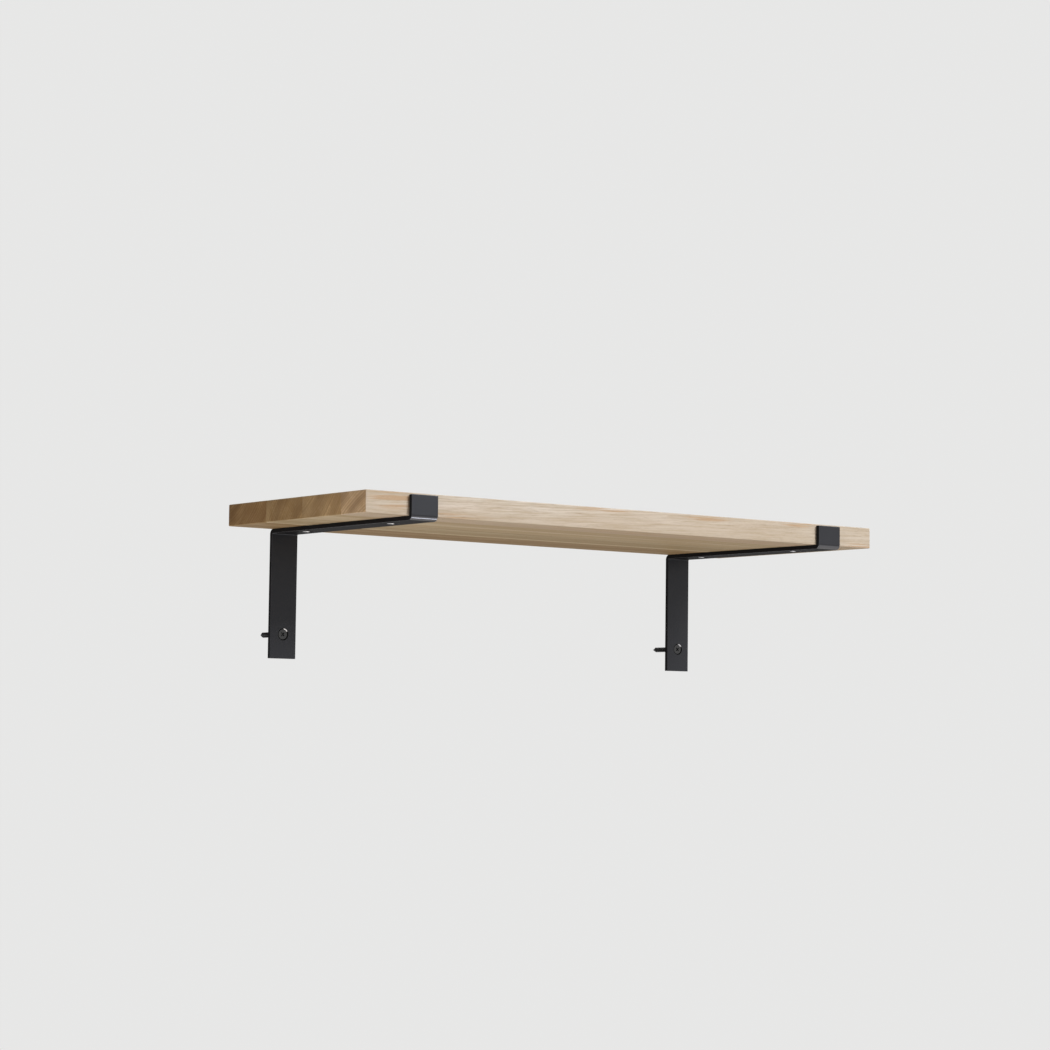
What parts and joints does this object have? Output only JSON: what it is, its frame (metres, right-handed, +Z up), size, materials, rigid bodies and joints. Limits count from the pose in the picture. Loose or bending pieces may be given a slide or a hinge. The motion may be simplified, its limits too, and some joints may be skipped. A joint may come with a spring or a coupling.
{
  "type": "hanging wall shelf",
  "caption": "Wall shelf: an edge-glued oak board held on bent flat-steel brackets, each with a wall leg, an arm under the board and a lip up its front edge.",
  "frame": {"origin": "on the wall's surface, midway between the two wall screws", "axes": "+X along the wall to the right as seen from the room, +Y into the wall, +Z up"},
  "size_m": [0.6, 0.2652, 0.14],
  "materials": {
    "oak_rear": "oiled oak, darker stave",
    "oak_middle_rear": "oiled oak",
    "oak_middle_front": "oiled oak",
    "oak_front": "oiled oak, pale stave",
    "black_powder_coat": "satin black powder coat",
    "black_screw": "black, semi-gloss"
  },
  "bodies": {
    "root": {"rear_stave": "oak_rear", "middle_rear_stave": "oak_middle_rear", "middle_front_stave": "oak_middle_front", "front_stave": "oak_front", "left_bracket": "black_powder_coat", "right_bracket": "black_powder_coat", "left_wall_screw": "black_screw", "right_wall_screw": "black_screw", "left_rear_board_screw": "black_screw", "left_front_board_screw": "black_screw", "right_rear_board_screw": "black_screw", "right_front_board_screw": "black_screw"}
  },
  "joints": []
}
